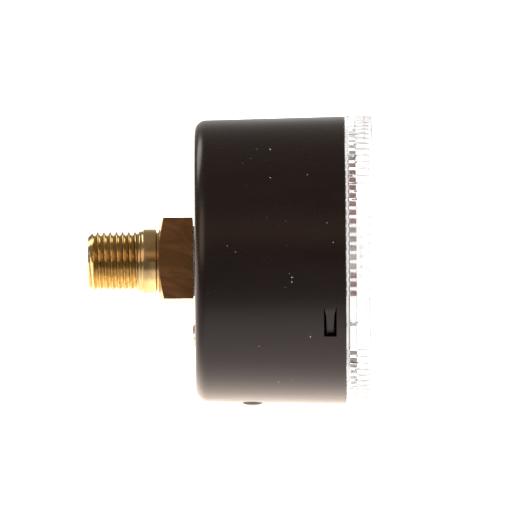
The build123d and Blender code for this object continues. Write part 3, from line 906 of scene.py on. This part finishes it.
# ---------------------------------------------------------------- socket
def thread_depth(t):
    """Whitworth form: 0 on the crest and 1 in the root, for a phase from 0 to 1."""
    u = abs(t - 0.5) * 2
    crest, root = 0.20, 0.20
    if u < crest:
        return 0.10 * (u / crest) ** 2
    if u > 1 - root:
        return 1 - 0.10 * ((1 - u) / root) ** 2
    return 0.10 + 0.80 * (u - crest) / (1 - root - crest)


def stub_radius(x, phase_turn):
    """Radius of the stub outside its collar, with the thread's groove and its run-out."""
    envelope = THREAD_R
    if x < STUB_END + 1.2:
        envelope = THREAD_R - (STUB_END + 1.2 - x)
    depth = THREAD_R - THREAD_ROOT_R
    fade = min(1.0, max(0.0, (-0.55 - x) / 0.9))
    fade = fade * fade * (3 - 2 * fade)
    phase = (x / THREAD_PITCH - phase_turn) % 1.0
    groove = THREAD_R - depth * fade * thread_depth(phase)
    return min(envelope, groove)


def make_stub():
    segments = 216
    rings = []
    inlet_x = [STUB_END + 13.0, STUB_END + 6.0, STUB_END + 0.45]
    for x in inlet_x:
        rings.append([around(x, INLET_R, 360 * j / segments) for j in range(segments)])
    rings.append([around(STUB_END, INLET_R + 0.45, 360 * j / segments) for j in range(segments)])
    rings.append([around(STUB_END, 5.0, 360 * j / segments) for j in range(segments)])
    steps = 196
    for i in range(steps + 1):
        x = STUB_END + 0.005 + (-0.30 - STUB_END) * i / steps
        ring = []
        for j in range(segments):
            ring.append(around(x, stub_radius(x, j / segments), 360 * j / segments))
        rings.append(ring)
    tail = [(-0.12, 6.62), (0.03, 6.74), (0.12, COLLAR_R - 0.05), (0.26, COLLAR_R)]
    tail += [(1.5, COLLAR_R), (2.72, COLLAR_R), (2.88, COLLAR_R - 0.05), (COLLAR_END, 6.76)]
    tail += [(COLLAR_END + 0.04, NECK_R + 0.12), (3.08, NECK_R), (SQUARE_START + 0.2, NECK_R)]
    for x, r in tail:
        rings.append([around(x, r, 360 * j / segments) for j in range(segments)])
    verts, faces = loft(rings, False)
    return mesh_object("stub", verts, faces, 28)


def square_radius(angle):
    a = radians(angle)
    return SQUARE_HALF / max(abs(cos(a)), abs(sin(a)))


def make_square():
    """Wrench square; a shallow cone turned on its outer end meets the four flats in arcs."""
    columns = 360
    slope = (CORNER_START - SQUARE_START) / (SQUARE_HALF * (sqrt(2) - 1))
    front = []
    flat = []
    for j in range(columns):
        a = 360 * j / columns
        r = square_radius(a)
        front.append(around(SQUARE_START, SQUARE_HALF - 0.02, a))
        flat.append(around(SQUARE_START + slope * (r - SQUARE_HALF) + 0.02, r, a))
    centre = [around(SQUARE_START, NECK_R - 0.4, 360 * j / columns) for j in range(columns)]
    back = []
    inner = []
    for j in range(columns):
        a = 360 * j / columns
        back.append(around(SQUARE_END, square_radius(a), a))
        inner.append(around(SQUARE_END, 6.0, a))
    boss = [around(CASE_BACK + SHEET + 0.1, 6.0, 360 * j / columns) for j in range(columns)]
    verts, faces = loft([centre, front, flat, back, inner, boss], False)
    verts = [turned(v, SQUARE_TURN) for v in verts]
    square = mesh_object("square", verts, faces, 30)
    soften(square, 0.14, 2, 35)
    return square


def make_holder():
    outline = [(-6.5, 7.0), (6.0, 7.0), (6.0, -22.6), (-8.2, -22.6), (-8.2, -17.6), (-6.5, -16.4)]
    holder = flat_prism("holder", outline, CASE_BACK + SHEET + 0.02, BACK_PLATE)
    soften(holder, 0.2, 2)
    return holder


socket_turned = finish_piece(make_stub(), brass_turned, "case", "brass_turned")
square = make_square()
finish_piece(
    join("socket_square", [square, make_holder()]), brass_drawn, "case", "brass_turned", "socket"
)
socket_turned.name = "socket_stub"


# ---------------------------------------------------------------- screw and plug
def make_case_screw():
    z = SCREW_Z
    dome = [(CASE_BACK + 7.0, 0.01), (CASE_BACK + 7.0, 1.2), (CASE_BACK + 6.7, 1.5)]
    dome += [(CASE_BACK, 1.5), (CASE_BACK - 0.01, 2.36), (CASE_BACK - 0.12, 2.40)]
    for i in range(1, 12):
        a = radians(90 * i / 11)
        dome.append((CASE_BACK - 0.12 - 0.66 * sin(a), 2.40 * cos(a) ** 0.62 + 0.004))
    screw = lathe("back_screw", dome, 96, False, 30, (0.0, z))
    cut(screw, [cutter_box("slot", (CASE_BACK - 0.75, 0, z), (1.1, 8.0, 0.62))], 30)
    return screw


finish_piece(make_case_screw(), zinc, "case", "screw_steel", "case_screw")


def make_plug():
    profile = []
    for i in range(15):
        a = radians(90 * i / 14)
        profile.append((-31.05 + 0.62 * (1 - cos(a)), 2.28 * sin(a) ** 0.75 + 0.004))
    profile += [(-30.30, 2.28), (-30.28, 1.72), (-29.6, 1.72), (-29.45, 2.2)]
    profile += [(-28.95, 2.2), (-28.6, 1.5), (-28.55, 0.01)]
    rings = []
    for z, r in profile:
        ring = []
        for j in range(72):
            a = 2 * pi * j / 72
            ring.append((PLUG_X + r * cos(a), r * sin(a), z))
        rings.append(ring)
    verts, faces = loft(rings, False)
    return mesh_object("plug_dome", verts, faces, 40)


finish_piece(make_plug(), rubber, "case", "plug_rubber", "vent_plug")

# ---------------------------------------------------------------- pieces kept as the frame has them
KEPT = {
    "window_seal": seal_rubber,
    "dial_posts": brass_plate,
    "dial_screws": zinc,
    "stop_pin": arbor_steel,
    "pinion": brass_plate,
    "pinion_arbor": arbor_steel,
    "hairspring": bronze,
    "hairspring_collet": brass_plate,
    "hairspring_stud": brass_plate,
    "sector_gear": brass_plate,
    "sector_arbor": arbor_steel,
    "sector_pin": arbor_steel,
    "link": arbor_steel,
    "tip_pin": arbor_steel,
    "tube_tip": brass_plate,
    "bourdon_tube": bronze,
    "movement_back_plate": brass_plate,
    "movement_front_plate": brass_plate,
    "movement_pillars": brass_plate,
    "pillar_screws": zinc,
    "movement_screws": zinc,
    "socket_washer": nylon,
    "restrictor": brass_plate,
}
for name, material in KEPT.items():
    paint_node(name, material)


# ---------------------------------------------------------------- floor, light, camera
# Brightness of the surroundings: through the clear window, and on dull surfaces.
# Both are lit more brightly than the shiny surfaces are, which real light would not do.
THROUGH_WINDOW = 1.9
ON_DULL = 2.3


def make_floor():
    """Pale sweep: flat under the gauge, curving up far behind it."""
    half = 3.0
    profile = [(-3.0, 0.0), (-0.6, 0.0), (-0.2, 0.0), (0.2, 0.0), (0.9, 0.0)]
    for i in range(1, 13):
        a = radians(90 * i / 12)
        profile.append((0.9 + 0.14 * sin(a), 0.14 * (1 - cos(a))))
    profile.append((1.04, 0.18))
    verts = []
    faces = []
    for y, z in profile:
        verts.append((-half, y, z + FLOOR_Z * MM))
        verts.append((half, y, z + FLOOR_Z * MM))
    for i in range(len(profile) - 1):
        faces.append((2 * i, 2 * i + 1, 2 * i + 3, 2 * i + 2))
    mesh = bpy.data.meshes.new("floor")
    mesh.from_pydata(verts, [], faces)
    mesh.shade_smooth()
    floor = bpy.data.objects.new("floor", mesh)
    bpy.context.scene.collection.objects.link(floor)
    m = Nodes("floor_pale")
    tone = m.mix(m.noise(6, 2), (0.90, 0.90, 0.90), (0.93, 0.93, 0.93))
    m.link(tone, m.bsdf.inputs["Base Color"])
    m.set(Roughness=0.85)
    m.bsdf.inputs["Emission Color"].default_value = (1.0, 1.0, 1.0, 1.0)
    m.bsdf.inputs["Emission Strength"].default_value = 0.75
    # what the gauge reflects: a lit table, pale and warm under the case and behind it
    at = m.add("ShaderNodeSeparateXYZ")
    m.link(m.place, at.inputs[0])
    near, far = -0.10, 0.0
    glow = []
    for y, strength, colour in (
        (-0.100, 0.24, (1.0, 0.82, 0.76)),
        (-0.064, 0.33, (1.0, 0.86, 0.84)),
        (-0.047, 0.86, (1.0, 0.86, 0.84)),
        (-0.038, 1.12, (1.0, 0.86, 0.84)),
        (-0.022, 1.42, (1.0, 0.87, 0.83)),
        (-0.016, 1.92, (1.0, 0.86, 0.80)),
        (-0.010, 2.70, (1.0, 0.84, 0.74)),
        (-0.004, 2.90, (1.0, 0.84, 0.71)),
        (0.0, 2.90, (1.0, 0.85, 0.72)),
    ):
        glow.append(((y - near) / (far - near), tuple(c * strength / 4 for c in colour)))
    light = m.ramp(m.span(at.outputs["Y"], near, far), glow)
    beside = m.span(at.outputs["X"], -0.004, 0.010, 0.66, 1.0)
    behind = m.span(at.outputs["Y"], 0.030, 0.070)
    table = m.add("ShaderNodeEmission")
    m.link(light, table.inputs["Color"])
    m.link(
        m.math("MULTIPLY", m.math("MAXIMUM", beside, behind), 4.0), table.inputs["Strength"]
    )
    pale = m.add("ShaderNodeEmission")
    pale.inputs["Color"].default_value = (1.0, 1.0, 1.0, 1.0)
    path = m.add("ShaderNodeLightPath")
    strength = m.mix(
        m.math("MINIMUM", path.outputs["Diffuse Depth"], 1.0),
        (THROUGH_WINDOW,) * 3,
        (ON_DULL,) * 3,
    )
    m.link(strength, pale.inputs["Strength"])
    through = m.math(
        "MAXIMUM", path.outputs["Transmission Depth"], path.outputs["Diffuse Depth"]
    )
    shader = table.outputs[0]
    for factor, other in (
        (m.math("MINIMUM", through, 1.0), pale.outputs[0]),
        (path.outputs["Is Camera Ray"], m.bsdf.outputs[0]),
    ):
        blend = m.add("ShaderNodeMixShader")
        m.link(factor, blend.inputs[0])
        m.link(shader, blend.inputs[1])
        m.link(other, blend.inputs[2])
        shader = blend.outputs[0]
    m.link(shader, m.out.inputs["Surface"])
    floor.data.materials.append(m.material)


def area_light(name, place, target, size, power, colour=(1, 1, 1)):
    light = bpy.data.lights.new(name, "AREA")
    light.shape = "RECTANGLE"
    light.size, light.size_y = size
    light.energy = power
    light.color = colour
    obj = bpy.data.objects.new(name, light)
    obj.location = place
    aim = Vector(target) - Vector(place)
    obj.rotation_mode = "QUATERNION"
    obj.rotation_quaternion = aim.to_track_quat("-Z", "Y")
    bpy.context.scene.collection.objects.link(obj)
    return obj


def make_world():
    """Room light by direction: bright behind and past the window, dim and warm elsewhere."""
    world = bpy.data.worlds.new("room")
    world.use_nodes = True
    tree = world.node_tree
    tree.nodes.clear()

    def ramp(value, stops):
        node = tree.nodes.new("ShaderNodeValToRGB")
        while len(node.color_ramp.elements) < len(stops):
            node.color_ramp.elements.new(0.5)
        for element, (place, colour) in zip(node.color_ramp.elements, stops):
            element.position = place
            element.color = (*colour, 1.0)
        tree.links.new(value, node.inputs[0])
        return node.outputs[0]

    def span(value, low, high, to_low, to_high):
        node = tree.nodes.new("ShaderNodeMapRange")
        node.interpolation_type = "SMOOTHSTEP"
        for key, number in (
            ("From Min", low),
            ("From Max", high),
            ("To Min", to_low),
            ("To Max", to_high),
        ):
            node.inputs[key].default_value = number
        tree.links.new(value, node.inputs["Value"])
        return node.outputs[0]

    def mix(factor, a, b):
        node = tree.nodes.new("ShaderNodeMix")
        node.data_type = "RGBA"
        tree.links.new(factor, node.inputs[0])
        tree.links.new(a, node.inputs[6])
        tree.links.new(b, node.inputs[7])
        return node.outputs[2]

    def patch(colour, towards, cosine_edge, cosine_full, radiance):
        """Add a soft round patch of light seen in one direction."""
        dot = tree.nodes.new("ShaderNodeVectorMath")
        dot.operation = "DOT_PRODUCT"
        tree.links.new(direction, dot.inputs[0])
        dot.inputs[1].default_value = Vector(towards).normalized()
        amount = span(dot.outputs["Value"], cosine_edge, cosine_full, 0.0, 1.0)
        add = tree.nodes.new("ShaderNodeMix")
        add.data_type = "RGBA"
        add.blend_type = "ADD"
        tree.links.new(amount, add.inputs[0])
        tree.links.new(colour, add.inputs[6])
        add.inputs[7].default_value = (*radiance, 1.0)
        return add.outputs[2]

    direction = tree.nodes.new("ShaderNodeTexCoord").outputs["Generated"]
    parts = tree.nodes.new("ShaderNodeSeparateXYZ")
    tree.links.new(direction, parts.inputs[0])
    height = span(parts.outputs["Z"], -1.0, 1.0, 0.0, 1.0)
    height.node.interpolation_type = "LINEAR"
    front = ramp(
        height,
        (
            (0.45, (0.10, 0.060, 0.040)),
            (0.57, (0.17, 0.11, 0.08)),
            (0.71, (0.52, 0.33, 0.23)),
            (0.83, (0.20, 0.13, 0.10)),
            (1.0, (0.22, 0.17, 0.14)),
        ),
    )
    back = ramp(
        height,
        (
            (0.55, (1.0, 0.96, 0.92)),
            (0.68, (0.78, 0.74, 0.70)),
            (0.80, (0.44, 0.40, 0.37)),
            (0.90, (0.30, 0.26, 0.23)),
            (1.0, (0.22, 0.17, 0.14)),
        ),
    )
    right = ramp(
        height,
        (
            (0.45, (0.95, 0.92, 0.89)),
            (0.75, (0.95, 0.92, 0.90)),
            (1.0, (0.35, 0.31, 0.28)),
        ),
    )
    left_back = ramp(
        height,
        (
            (0.50, (0.20, 0.16, 0.13)),
            (0.62, (0.24, 0.20, 0.17)),
            (1.0, (0.24, 0.19, 0.16)),
        ),
    )
    colour = mix(span(parts.outputs["Y"], -0.15, 0.25, 0.0, 1.0), front, back)
    colour = mix(span(parts.outputs["X"], 0.35, 0.75, 0.0, 1.0), colour, right)
    colour = mix(span(parts.outputs["X"], -0.08, -0.40, 0.0, 1.0), colour, left_back)
    # soft lamps on the thread's side: two in front, and one above and behind
    colour = patch(colour, (-0.69, -0.64, 0.33), 0.88, 0.975, (1.10, 0.88, 0.78))
    colour = patch(colour, (-0.86, -0.45, 0.25), 0.90, 0.985, (0.60, 0.30, 0.14))
    colour = patch(colour, (-0.60, 0.43, 0.67), 0.945, 0.985, (3.2, 3.0, 2.8))
    # the backdrop, and what lights the dull surfaces and the clear window, is plain white
    path = tree.nodes.new("ShaderNodeLightPath")
    for kind, level in (
        ("Transmission Depth", THROUGH_WINDOW),
        ("Diffuse Depth", ON_DULL),
        ("Is Camera Ray", 1.0),
    ):
        pale = tree.nodes.new("ShaderNodeRGB").outputs[0]
        pale.default_value = (level, level, level, 1.0)
        colour = mix(span(path.outputs[kind], 0.0, 1.0, 0.0, 1.0), colour, pale)
    background = tree.nodes.new("ShaderNodeBackground")
    tree.links.new(colour, background.inputs["Color"])
    background.inputs["Strength"].default_value = 1.0
    out = tree.nodes.new("ShaderNodeOutputWorld")
    tree.links.new(background.outputs[0], out.inputs[0])
    bpy.context.scene.world = world


make_floor()
make_world()
area_light("overhead", (0.0, 0.09, 0.5), (0.0, 0.0, 0.0), (0.6, 0.5), 0.02, (1.0, 0.97, 0.92))

# Long lens, square on to the gauge's side
LENS = 800.0
SENSOR = 36.0
VIEW_WIDTH = 110.87
VIEW_CENTRE_X = CASE_BACK + 13.455
VIEW_CENTRE_Z = 0.689
VIEW_ROLL = 0.43
camera_data = bpy.data.cameras.new("camera")
camera_data.lens = LENS
camera_data.sensor_width = SENSOR
camera_data.clip_start = 0.1
camera_data.clip_end = 100.0
camera = bpy.data.objects.new("camera", camera_data)
distance = LENS / SENSOR * VIEW_WIDTH * MM
centre_x = VIEW_CENTRE_X * MM
centre_z = VIEW_CENTRE_Z * MM
# rolled a little, so that the front of the gauge is seen slightly raised
roll = radians(VIEW_ROLL)
right = Vector((cos(roll), 0.0, -sin(roll)))
up = Vector((sin(roll), 0.0, cos(roll)))
turn = Matrix((right, up, Vector((0.0, -1.0, 0.0)))).transposed()
camera.matrix_world = Matrix.Translation((centre_x, -distance, centre_z)) @ turn.to_4x4()
bpy.context.scene.collection.objects.link(camera)
bpy.context.scene.camera = camera
bpy.context.scene.view_settings.view_transform = "Standard"
